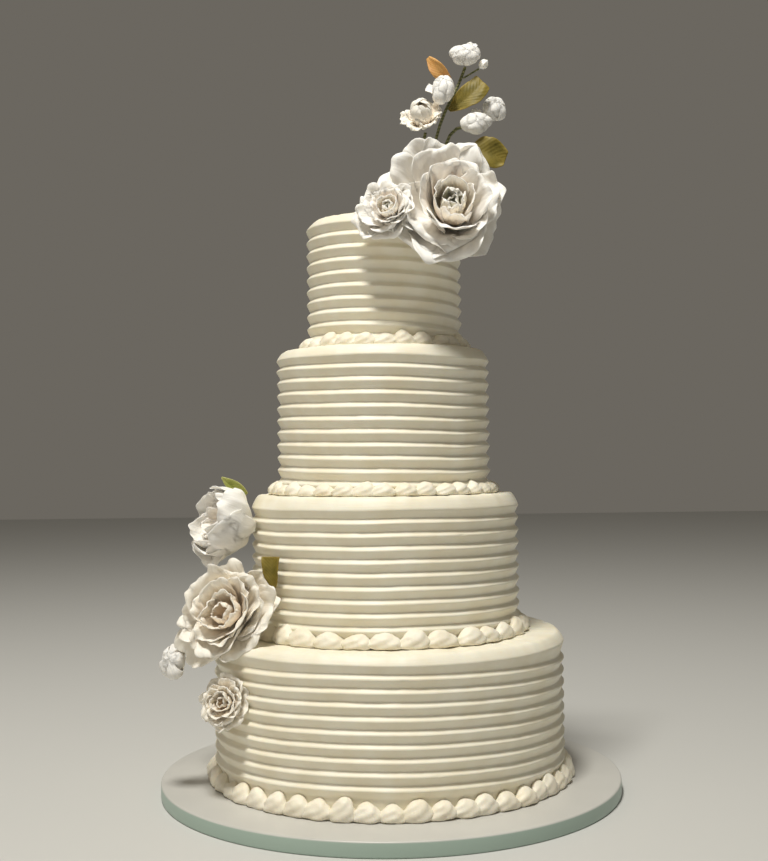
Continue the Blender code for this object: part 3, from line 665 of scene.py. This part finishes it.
# ---------------------------------------------------------------- sugar flowers
class Seat:
    """Where a flower sits: the middle of its rim, the way it faces, its roll and its rim's radius."""

    def __init__(self, node, share, facing, size_share, roll=0.0):
        self.centre = within(node, *share)
        self.size = size_share * height_of(node)
        self.facing = Vector(facing).normalized()
        right = Vector((0, 0, 1)).cross(self.facing).normalized()
        up = self.facing.cross(right)
        self.turn = Matrix((right, up, self.facing)).transposed() @ Matrix.Rotation(roll, 3, "Z")
        self.stretch = 1.0

    def at(self, x, y, z):
        return self.centre + self.turn @ Vector((x * self.stretch, y, z)) * self.size


def spline_at(points, share):
    """A point on the smooth curve through the points, 0 at the first and 1 at the last, and its way."""
    place = max(0.0, min(share, 1.0)) * (len(points) - 1)
    i = min(int(place), len(points) - 2)
    t = place - i
    start, stop = Vector(points[i]), Vector(points[i + 1])
    before = Vector(points[i - 1]) if i else 2 * start - stop
    after = Vector(points[i + 2]) if i + 2 < len(points) else 2 * stop - start
    a = -before + 3 * start - 3 * stop + after
    b = 2 * before - 5 * start + 4 * stop - after
    c = stop - before
    here = 0.5 * (a * t ** 3 + b * t ** 2 + c * t + 2 * start)
    way = 0.5 * (3 * a * t ** 2 + 2 * b * t + c)
    over = share - max(0.0, min(share, 1.0))
    return here + way * over * (len(points) - 1), way.normalized()


PETAL_THICKNESS = 0.8 * MM
BUD_PETAL_THICKNESS = 0.7 * MM
STRAYS = 900  # one point in so many may stick out past a flower's CAD node at each side


class Sheets:
    """Petals and leaves gathered in one mesh, with the attributes that their finish reads."""

    def __init__(self):
        self.builder = bmesh.new()
        self.petal = self.builder.verts.layers.float_vector.new("petal")
        self.dust = self.builder.verts.layers.float.new("dust")
        self.core = self.builder.verts.layers.float.new("core")

    def grid(self, rows, columns, place):
        """A sheet of faces. place(u, v) gives a point, its share of dusting and painted shade, its core share
        and its mark on the petal; u is -1 to 1 across and v is 0 to 1 along."""
        verts = []
        for i in range(rows + 1):
            line = []
            for j in range(columns + 1):
                u = 2 * j / columns - 1
                v = i / rows
                point, dust, core, mark = place(u, v)
                vert = self.builder.verts.new(point)
                vert[self.petal] = mark
                vert[self.dust] = max(0.0, min(dust, 1.0))
                vert[self.core] = max(0.0, min(core, 1.0))
                line.append(vert)
            verts.append(line)
        for low, high in zip(verts, verts[1:]):
            for j in range(columns):
                self.builder.faces.new((low[j], low[j + 1], high[j + 1], high[j]))

    def fit(self, node, margin):
        """Moves and scales the sheets to the width and height of their CAD node, and no deeper than it."""
        low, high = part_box(node)
        for axis in range(3):
            places = sorted(vert.co[axis] for vert in self.builder.verts)
            few = len(places) // STRAYS
            least, most = places[few], places[-1 - few]
            room = high[axis] - low[axis] - 2 * margin
            share = room / (most - least)
            if axis == 1:
                share = min(share, 1.0)
                start = min(max(least, low.y + margin), high.y - margin - share * (most - least))
            else:
                start = low[axis] + margin
            for vert in self.builder.verts:
                place = start + share * (vert.co[axis] - least)
                vert.co[axis] = min(max(place, cad_low[axis] + margin), cad_high[axis] - margin)

    def finish(self, name, material, thickness, node=None):
        if node:
            self.fit(node, 0.6 * thickness)
        mesh = bpy.data.meshes.new(name)
        self.builder.to_mesh(mesh)
        self.builder.free()
        mesh.shade_smooth()
        return thicken(link(name, mesh, material), thickness)


def add_petal(sheets, seat, turn, route, width, wrap, chance, ruffle=0.05, ragged=0.05, crumple=0.05,
              round_tip=0.30, waist=0.35, middle=(0.0, 0.0), dust=0.0, core=0.0, rows=14, columns=14):
    """One petal: it follows the route out and up from the flower's middle, is wrapped across its width,
    crumpled like thin paste, and has a rounded, ragged and ruffled edge. Sizes are shares of the flower's
    radius."""
    seed = chance.uniform(0, 100)
    out_way = Vector((math.cos(turn), math.sin(turn), 0))
    side_way = Vector((-math.sin(turn), math.cos(turn), 0))
    lean = chance.uniform(-0.25, 0.25)
    notch = chance.uniform(-0.6, 0.6)

    def place(u, v):
        tears = noise.noise(Vector((u * 3.1, seed, 0.5))) + 0.7 * noise.noise(Vector((u * 8.3, seed, 9.5)))
        split = math.exp(-((u - notch) / 0.13) ** 2)
        reach = 1 - round_tip * abs(u) ** 2.3 + ragged * (tears - split)
        here, way = spline_at(route, v * reach)
        inner = Vector((-way.y, way.x))
        half = width * (waist + (1 - waist) * math.sin(math.pi / 2 * min(1.0, v / 0.62)))
        half *= 1 + 0.16 * noise.noise(Vector((v * 2.4, seed, 20 + math.copysign(5, u))))
        angle = u * half / wrap
        edge = max(abs(u) ** 3, v ** 4)
        wave = noise.noise(Vector((u * 2.2 + seed, v * 2.0, seed)))
        frill = noise.noise(Vector((u * 5.5 + seed, v * 4.5, seed + 3)))
        fold = 0.4 - abs(noise.noise(Vector((u * 2.6 + 0.9 * v, v * 2.3 + seed, seed + 7))))
        lift = ruffle * (1.6 * wave + 1.3 * edge * frill) + crumple * v * (1.4 * fold + 0.7 * frill)
        curve = wrap * (1 - math.cos(angle)) + lift
        out = here.x + inner.x * curve
        up = here.y + inner.y * curve
        side = wrap * math.sin(angle) + lean * v * width + 0.5 * ruffle * frill * v
        flat = out_way * out + side_way * side
        point = seat.at(flat.x + middle[0], flat.y + middle[1], up)
        # painted shade with the dusting: the fold tint grows toward the petal's foot, deep inside the flower
        shade = dust * (1 - v) ** 0.8
        return point, shade, core * (1 - v), Vector((u, v, seed))

    sheets.grid(rows, columns, place)


def add_ring(sheets, seat, count, first, route, width, wrap, chance, spread=0.22, tilt=0.14, **details):
    """Petals round the flower's middle, each a little unlike the next."""
    for k in range(count):
        turn = first + math.tau * k / count + chance.uniform(-spread, spread)
        rise = chance.uniform(-tilt, tilt)
        length = chance.uniform(0.88, 1.06)
        own_route = [(out * length, up + rise * out) for out, up in route]
        add_petal(sheets, seat, turn, own_route, width * chance.uniform(0.88, 1.15), wrap, chance, **details)


# petal routes: distance out from the flower's middle and height above its rim, in shares of its radius
OPEN_WIDE = ((0.06, -0.46), (0.36, -0.36), (0.70, -0.20), (0.93, -0.08), (1.02, -0.12))
HALF_OPEN = ((0.05, -0.42), (0.33, -0.28), (0.60, -0.06), (0.78, 0.10), (0.86, 0.10))
BOWL = ((0.04, -0.38), (0.28, -0.22), (0.46, 0.04), (0.58, 0.24), (0.66, 0.30))
CUP = ((0.03, -0.32), (0.22, -0.18), (0.35, 0.10), (0.37, 0.30), (0.38, 0.38))
FURLED = ((0.02, -0.30), (0.12, -0.12), (0.20, 0.10), (0.18, 0.26), (0.12, 0.30))
BUD_ROUTE = ((0.02, -0.40), (0.52, -0.20), (0.66, 0.20), (0.50, 0.56), (0.16, 0.70))
CLOSED = ((0.02, -0.40), (0.56, -0.24), (0.72, 0.16), (0.46, 0.56), (-0.06, 0.66))
CUPPED = ((0.04, -0.60), (0.50, -0.50), (0.86, -0.14), (0.90, 0.26), (0.82, 0.56))
SKIRT = ((0.05, -0.50), (0.50, -0.42), (0.82, -0.20), (1.02, -0.10), (1.14, -0.16))
ARCH = ((0.08, -0.34), (0.26, -0.16), (0.46, 0.06), (0.60, 0.20), (0.66, 0.22))
CLASPED = ((0.04, -0.55), (0.56, -0.46), (0.96, -0.08), (0.80, 0.40), (0.26, 0.60))
UPRIGHT = ((0.04, -0.45), (0.40, -0.30), (0.72, -0.05), (0.95, 0.05), (1.08, 0.02))


def make_peony(name, node, seat, material, slot, seed, middle=(0.0, 0.0)):
    """A full open peony: loose outer petals, a bowl of rising ones, one that arches over the heart, and a
    furled heart dusted in its folds, the dusting deepened with painted shade toward the middle."""
    chance = random.Random(seed)
    sheets = Sheets()
    near = (0.4 * middle[0], 0.4 * middle[1])
    add_ring(sheets, seat, 7, 0.2, OPEN_WIDE, 0.62, 1.1, chance, ruffle=0.05, ragged=0.08, crumple=0.06,
             dust=0.15)
    add_ring(sheets, seat, 6, 0.7, HALF_OPEN, 0.50, 0.9, chance, ruffle=0.05, ragged=0.09, crumple=0.06,
             dust=0.2, middle=near)
    add_ring(sheets, seat, 5, 0.3, BOWL, 0.42, 0.6, chance, ruffle=0.045, ragged=0.09, crumple=0.05, dust=0.3,
             middle=middle)
    add_petal(sheets, seat, math.radians(92), ARCH, 0.36, 0.34, chance, ruffle=0.02, ragged=0.03,
              crumple=0.03, round_tip=0.22, dust=1.0, middle=middle)
    add_ring(sheets, seat, 4, 1.1, CUP, 0.32, 0.36, chance, ruffle=0.035, ragged=0.06, crumple=0.05, dust=0.9,
             middle=middle)
    add_ring(sheets, seat, 5, 0.5, FURLED, 0.16, 0.2, chance, ruffle=0.03, ragged=0.06, crumple=0.04,
             spread=0.5, tilt=0.4, dust=0.5, core=0.8, middle=middle)
    folds = [(0.5 * out, up - 0.05) for out, up in FURLED]
    add_ring(sheets, seat, 3, 0.1, folds, 0.14, 0.2, chance, ruffle=0.03, spread=0.5, core=1.0,
             middle=middle)
    flower = sheets.finish(name, material, PETAL_THICKNESS, node)
    return settle(flower, slot, node)


def make_cupped_peony(name, node, seat, material, slot, seed):
    """A half-open peony: broad smooth petals clasped into a cup, ruffled ones in its mouth, and two that
    curl away under it."""
    chance = random.Random(seed)
    sheets = Sheets()
    inner = [(out * 0.72, up) for out, up in CUPPED]
    add_ring(sheets, seat, 6, 0.4, CUPPED, 0.66, 0.9, chance, ruffle=0.06, ragged=0.09, crumple=0.06,
             spread=0.15, tilt=0.08, dust=0.1)
    add_petal(sheets, seat, math.radians(205), SKIRT, 0.50, 0.7, chance, ruffle=0.08, ragged=0.08, dust=0.3)
    add_petal(sheets, seat, math.radians(262), SKIRT, 0.50, 0.7, chance, ruffle=0.08, ragged=0.08, dust=0.3)
    add_ring(sheets, seat, 5, 0.9, inner, 0.50, 0.6, chance, ruffle=0.06, ragged=0.09, crumple=0.06,
             dust=0.2)
    add_ring(sheets, seat, 5, 0.1, BOWL, 0.36, 0.5, chance, ruffle=0.06, ragged=0.10, crumple=0.08, dust=0.4)
    add_ring(sheets, seat, 4, 0.5, CUP, 0.26, 0.3, chance, ruffle=0.04, ragged=0.06, crumple=0.05, dust=0.6)
    flower = sheets.finish(name, material, PETAL_THICKNESS, node)
    return settle(flower, slot, node)


def make_rose(name, node, seat, material, slot, seed):
    """An open rose: layers of thin petals that fold closer to a spiral heart."""
    chance = random.Random(seed)
    sheets = Sheets()
    add_ring(sheets, seat, 6, 0.1, OPEN_WIDE, 0.56, 0.9, chance, ruffle=0.05, ragged=0.08, crumple=0.06,
             dust=0.15)
    add_ring(sheets, seat, 7, 0.6, HALF_OPEN, 0.46, 0.62, chance, ruffle=0.05, ragged=0.08, crumple=0.06,
             dust=0.25)
    add_ring(sheets, seat, 6, 0.2, BOWL, 0.38, 0.5, chance, ruffle=0.05, ragged=0.08, crumple=0.06, dust=0.4)
    add_ring(sheets, seat, 5, 0.9, CUP, 0.28, 0.32, chance, ruffle=0.04, ragged=0.06, crumple=0.04, dust=0.6)
    add_ring(sheets, seat, 4, 0.4, FURLED, 0.18, 0.19, chance, ruffle=0.03, ragged=0.04, crumple=0.02,
             dust=0.9)
    flower = sheets.finish(name, material, PETAL_THICKNESS, node)
    return settle(flower, slot, node)


def make_blossom(name, node, seat, seed, petals):
    """A small white blossom; each petal has its turn from the right in degrees, its route, width, length."""
    chance = random.Random(seed)
    sheets = Sheets()
    for turn, route, width, length in petals:
        own_route = [(out * length, up) for out, up in route]
        add_petal(sheets, seat, math.radians(turn), own_route, width, 0.6, chance, ruffle=0.06, ragged=0.05,
                  crumple=0.03, dust=0.1, rows=11, columns=11)
    add_ring(sheets, seat, 3, 0.9, CLOSED, 0.80, 0.7, chance, ruffle=0.02, ragged=0.0, crumple=0.02,
             round_tip=0.05, dust=0.1, rows=11, columns=11)
    flower = sheets.finish(name, WHITE_PASTE, PETAL_THICKNESS, node)
    return settle(flower, "sugar_white", node)


def make_rosebud(name, node, seat, seed):
    """A half-open bud: a dome of closed petals over a ruffled skirt, with one petal standing at the right."""
    chance = random.Random(seed)
    sheets = Sheets()
    add_ring(sheets, seat, 6, 0.2, SKIRT, 0.60, 0.9, chance, ruffle=0.09, ragged=0.11, crumple=0.06,
             dust=0.2)
    add_ring(sheets, seat, 4, 0.6, BUD_ROUTE, 0.62, 0.62, chance, ruffle=0.05, ragged=0.08, crumple=0.05,
             dust=0.4)
    add_petal(sheets, seat, math.radians(15), UPRIGHT, 0.5, 0.7, chance, ruffle=0.08, ragged=0.10, dust=0.3)
    add_ring(sheets, seat, 3, 0.1, CUP, 0.5, 0.42, chance, ruffle=0.03, ragged=0.03, dust=0.8)
    flower = sheets.finish(name, CREAM_PASTE, BUD_PETAL_THICKNESS, node)
    return settle(flower, "sugar_cream", node)


def make_leaf(name, node, foot, tip, width, face, material, slot, outline, bow=0.12, fold=0.22, swerve=0.0,
              fitted=True, seed=1):
    """A leaf blade, folded along its midrib, bowed towards its face, swerved sideways and wavy at its edge.
    The outline gives its half width from foot to tip as shares of the widest."""
    foot, tip = within(node, *foot), within(node, *tip)
    along = tip - foot
    face = Vector(face)
    face = (face - face.project(along)).normalized()
    across = along.normalized().cross(face)
    sheets = Sheets()

    def place(u, v):
        half = max(0.5 * width * spline_at(outline, v)[0].y, 0.4 * MM)
        arc = math.sin(math.pi * v)
        spine = foot + along * v + face * (bow * along.length * arc) + across * (swerve * along.length * arc)
        wave = noise.noise(Vector((u * 1.7, v * 3.0, seed)))
        nibble = 0.05 * noise.noise(Vector((u, v * 9.0, seed + 4)))
        lift = fold * half * abs(u) + 0.20 * width * wave * abs(u) ** 1.5
        point = spine + across * (u * half * (1 + nibble)) + face * lift
        return point, max(abs(u), v) ** 6 * 0.5 + 0.2 * (1 - v) ** 3, 0.0, Vector((u, v, seed))

    sheets.grid(20, 12, place)
    leaf = sheets.finish(name, material, PETAL_THICKNESS, node if fitted else None)
    return settle(leaf, slot, node)


def make_flowers():
    peony = Seat("peony_top", (0.47, 0.55, 0.51), (0.06, -1.0, 0.30), 0.522, roll=0.3)
    make_peony("peony_on_top", "peony_top", peony, WHITE_PASTE, "sugar_white", 11, middle=(0.14, -0.18))
    small = Seat("peony_top_small", (0.49, 0.46, 0.51), (-0.30, -1.0, 0.45), 0.531)
    make_peony("open_peony_on_top", "peony_top_small", small, WHITE_PASTE, "sugar_white", 5,
               middle=(0.2, 0.0))
    bud = Seat("rosebud", (0.51, 0.52, 0.47), (-0.15, -0.80, 0.60), 0.55)
    make_rosebud("half_open_bud", "rosebud", bud, 8)
    left = Seat("peony_left", (0.46, 0.56, 0.46), (-0.84, -0.46, 0.30), 0.52)
    make_cupped_peony("peony_on_side", "peony_left", left, WHITE_PASTE, "sugar_white", 21)
    rose = Seat("rose_large", (0.52, 0.37, 0.51), (-0.34, -0.94, 0.30), 0.46, roll=0.75)
    rose.stretch = 1.2
    make_rose("rose_on_ledge", "rose_large", rose, CREAM_PASTE, "sugar_cream", 31)
    small_rose = Seat("rose_small", (0.49, 0.43, 0.50), (-0.36, -0.94, 0.25), 0.52)
    make_rose("small_rose_on_side", "rose_small", small_rose, CREAM_PASTE, "sugar_cream", 41)
    make_blossom("blossom_at_tip", "blossom_top",
                 Seat("blossom_top", (0.5, 0.64, 0.40), (-0.10, -0.85, 0.50), 0.5), 3,
                 ((150, CLASPED, 0.85, 1.05), (68, UPRIGHT, 0.34, 1.15), (10, CLASPED, 0.6, 0.9),
                  (275, CLASPED, 0.95, 0.85), (220, CLASPED, 0.6, 0.9), (110, CLASPED, 0.5, 0.7)))
    make_blossom("blossom_by_leaf", "blossom_mid",
                 Seat("blossom_mid", (0.6, 0.58, 0.46), (-0.25, -0.8, 0.55), 0.5), 4,
                 ((172, UPRIGHT, 0.34, 1.25), (120, CLASPED, 0.65, 0.9), (40, CLASPED, 0.85, 1.0),
                  (345, CLASPED, 0.8, 1.0), (270, CLASPED, 0.7, 0.95), (215, CLASPED, 0.6, 0.8)))
    make_blossom("blossom_at_right", "blossom_right",
                 Seat("blossom_right", (0.49, 0.54, 0.5), (-0.05, -0.85, 0.50), 0.5), 6,
                 ((85, UPRIGHT, 0.36, 1.15), (20, CLASPED, 0.75, 1.0), (150, CLASPED, 0.7, 0.85),
                  (205, CLASPED, 0.7, 1.0), (275, CLASPED, 0.85, 1.0), (325, CLASPED, 0.6, 0.9)))
    make_blossom("blossom_behind", "blossom_far_right",
                 Seat("blossom_far_right", (0.5, 0.6, 0.5), (0.2, -0.85, 0.45), 0.5), 7,
                 ((60, CLASPED, 0.9, 1.0), (140, CLASPED, 0.7, 0.9), (330, CLASPED, 0.9, 1.0),
                  (240, CLASPED, 0.9, 0.9)))
    make_blossom("blossom_on_side", "blossom_left",
                 Seat("blossom_left", (0.61, 0.6, 0.49), (-0.35, -0.85, 0.40), 0.5), 9,
                 ((88, CLASPED, 0.55, 1.1), (165, CLASPED, 0.6, 0.95), (232, CLASPED, 0.6, 1.05),
                  (300, CLASPED, 0.5, 1.05), (15, CLASPED, 0.5, 0.7)))


# leaf outlines: place along the leaf and half width there
TAPERED = ((0.0, 0.12), (0.25, 0.72), (0.5, 1.0), (0.75, 0.86), (1.0, 0.30))
SQUARED = ((0.0, 0.22), (0.25, 0.72), (0.5, 0.94), (0.75, 1.0), (1.0, 0.80))
ROUNDED = ((0.0, 0.16), (0.2, 0.90), (0.4, 1.0), (0.6, 1.0), (0.8, 0.88), (1.0, 0.50))
NOTCHED = ((0.0, 0.30), (0.25, 0.62), (0.5, 0.78), (0.75, 0.84), (1.0, 1.0))
SLIM = ((0.0, 0.30), (0.25, 0.85), (0.5, 1.0), (0.75, 0.75), (1.0, 0.12))


def make_leaves():
    make_leaf("tan_leaf", "leaf_top_left", (0.98, 0.8, 0.02), (0.02, 0.6, 0.98), 14 * MM,
              (-0.2, -0.9, -0.3), TAN_LEAF, "leaf_tan", TAPERED, bow=0.16, seed=2)
    make_leaf("gold_leaf", "leaf_top_middle", (0.03, 0.85, 0.10), (0.88, 0.6, 0.94), 25 * MM,
              (-0.2, -0.9, 0.3), OLIVE_LEAF, "leaf_olive", SQUARED, bow=0.10, swerve=0.13, seed=5)
    make_leaf("broad_leaf", "leaf_top_right", (0.02, 0.9, 0.62), (0.98, 0.9, 0.22), 33 * MM,
              (0.1, -1.0, 0.2), OLIVE_LEAF, "leaf_olive", ROUNDED, bow=0.08, seed=8)
    make_leaf("lime_leaf", "leaf_lime", (0.78, 0.93, 0.0), (0.03, 0.16, 0.97), 11 * MM,
              (-0.5, -0.8, 0.3), LIME_LEAF, "leaf_lime", SLIM, fitted=False, seed=11)
    make_leaf("ledge_leaf", "leaf_ledge", (0.62, 0.20, 0.45), (0.62, 0.24, 1.0), 20 * MM,
              (-0.45, -0.89, 0), OLIVE_LEAF, "leaf_olive", NOTCHED, bow=0.03, fold=0.4, fitted=False,
              seed=14)


def dress_stems():
    for node in ("stem_left", "stem_right", "stem_rosebud", "twig_mid", "twig_far_right", "twig_bud",
                 "twig_left", "wire_leaf"):
        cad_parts[node].data.materials.clear()
        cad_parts[node].data.materials.append(TAPE)
    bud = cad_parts["bud_top"]
    bud.data.materials.clear()
    bud.data.materials.append(WHITE_PASTE)


# ---------------------------------------------------------------- studio
def aim(obj, target):
    obj.rotation_euler = (Vector(target) - obj.location).to_track_quat("-Z", "Y").to_euler()


def make_studio():
    floor_mesh = bpy.data.meshes.new("studio_floor")
    half = 5.0
    corners = [(-half, -half, 0), (half, -half, 0), (half, half, 0), (-half, half, 0)]
    floor_mesh.from_pydata(corners, [], [(0, 1, 2, 3)])
    paint, _, _ = new_material("matt floor paint", base_color=linear("#C9C9C6"), roughness=0.8)
    floor = link("studio_floor", floor_mesh, paint)

    bpy.context.scene.view_settings.view_transform = "Standard"
    world = bpy.data.worlds.new("studio")
    bpy.context.scene.world = world
    world.use_nodes = True
    background = world.node_tree.nodes["Background"]
    background.inputs["Color"].default_value = linear("#DAD2C4")
    background.inputs["Strength"].default_value = 0.21

    for name, place, energy, size, colour in (
        ("key softbox", (-0.30, -0.84, 2.50), 62.0, 0.45, "#FDFAF2"),
        ("fill softbox", (-1.6, -1.6, 0.8), 5.0, 1.6, "#FFF0DC"),
    ):
        light = bpy.data.lights.new(name, "AREA")
        light.energy = energy
        light.size = size
        light.color = linear(colour)[:3]
        lamp = bpy.data.objects.new(name, light)
        lamp.location = place
        bpy.context.scene.collection.objects.link(lamp)
        aim(lamp, (0, 0, 0.3))


def make_camera():
    """Level with the second tier, a hand's turn off straight, looking up by a degree."""
    yaw, pitch, roll = 0.0019, -0.0228, -0.0116
    ahead = Vector((math.sin(yaw) * math.cos(pitch), math.cos(yaw) * math.cos(pitch), -math.sin(pitch)))
    level_right = Vector((math.cos(yaw), -math.sin(yaw), 0))
    level_up = level_right.cross(ahead)
    right = math.cos(roll) * level_right + math.sin(roll) * level_up
    up = -math.sin(roll) * level_right + math.cos(roll) * level_up
    camera_data = bpy.data.cameras.new("camera")
    camera_data.sensor_fit = "VERTICAL"
    camera_data.sensor_height = 36.0
    camera_data.lens = 49.9
    camera = bpy.data.objects.new("camera", camera_data)
    camera.matrix_world = Matrix((
        (right.x, up.x, -ahead.x, -0.0049),
        (right.y, up.y, -ahead.y, -1.0787),
        (right.z, up.z, -ahead.z, 0.2924),
        (0, 0, 0, 1)))
    bpy.context.scene.collection.objects.link(camera)
    bpy.context.scene.camera = camera


make_camera()
make_studio()
make_board()
make_tiers()
make_borders()
make_flowers()
make_leaves()
dress_stems()
